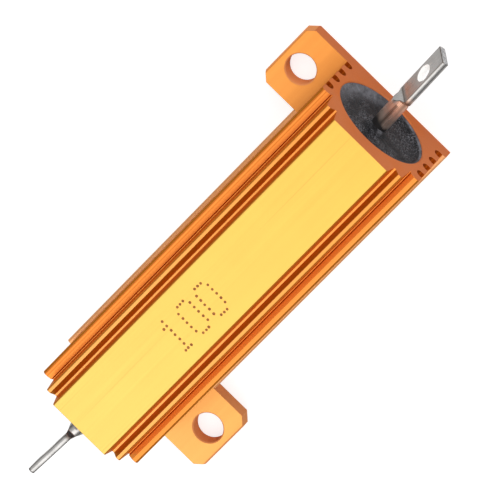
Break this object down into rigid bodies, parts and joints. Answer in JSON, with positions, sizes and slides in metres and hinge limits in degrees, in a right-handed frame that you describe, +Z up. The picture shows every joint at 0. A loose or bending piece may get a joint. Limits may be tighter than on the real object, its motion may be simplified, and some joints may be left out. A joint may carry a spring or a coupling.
{
  "type": "aluminium housed resistor",
  "caption": "Gold anodised aluminium housed wirewound resistor with side fins, two diagonal mounting ears and a flattened solder lug at each end.",
  "frame": {"origin": "centre of the housing's base, on the mounting plane", "axes": "+X along the bore towards the front terminal, +Z up from the base to the flat top land, +Y towards the ear at the front end"},
  "size_m": [0.072, 0.0264, 0.0158],
  "materials": {
    "anodised_aluminium": "satin gold anodised",
    "potting": "rough, slightly grainy filler",
    "core_ceramic": "matt unglazed",
    "resistance_alloy": "drawn ribbon",
    "cap_steel": "drawn sheet",
    "tinned_terminal": "bright tinned"
  },
  "bodies": {
    "root": {"housing": "anodised_aluminium", "potting_compound": "potting", "ceramic_core": "core_ceramic", "resistance_winding": "resistance_alloy", "end_cap_front": "cap_steel", "end_cap_rear": "cap_steel", "terminal_front": "tinned_terminal", "terminal_rear": "tinned_terminal"}
  },
  "joints": []
}
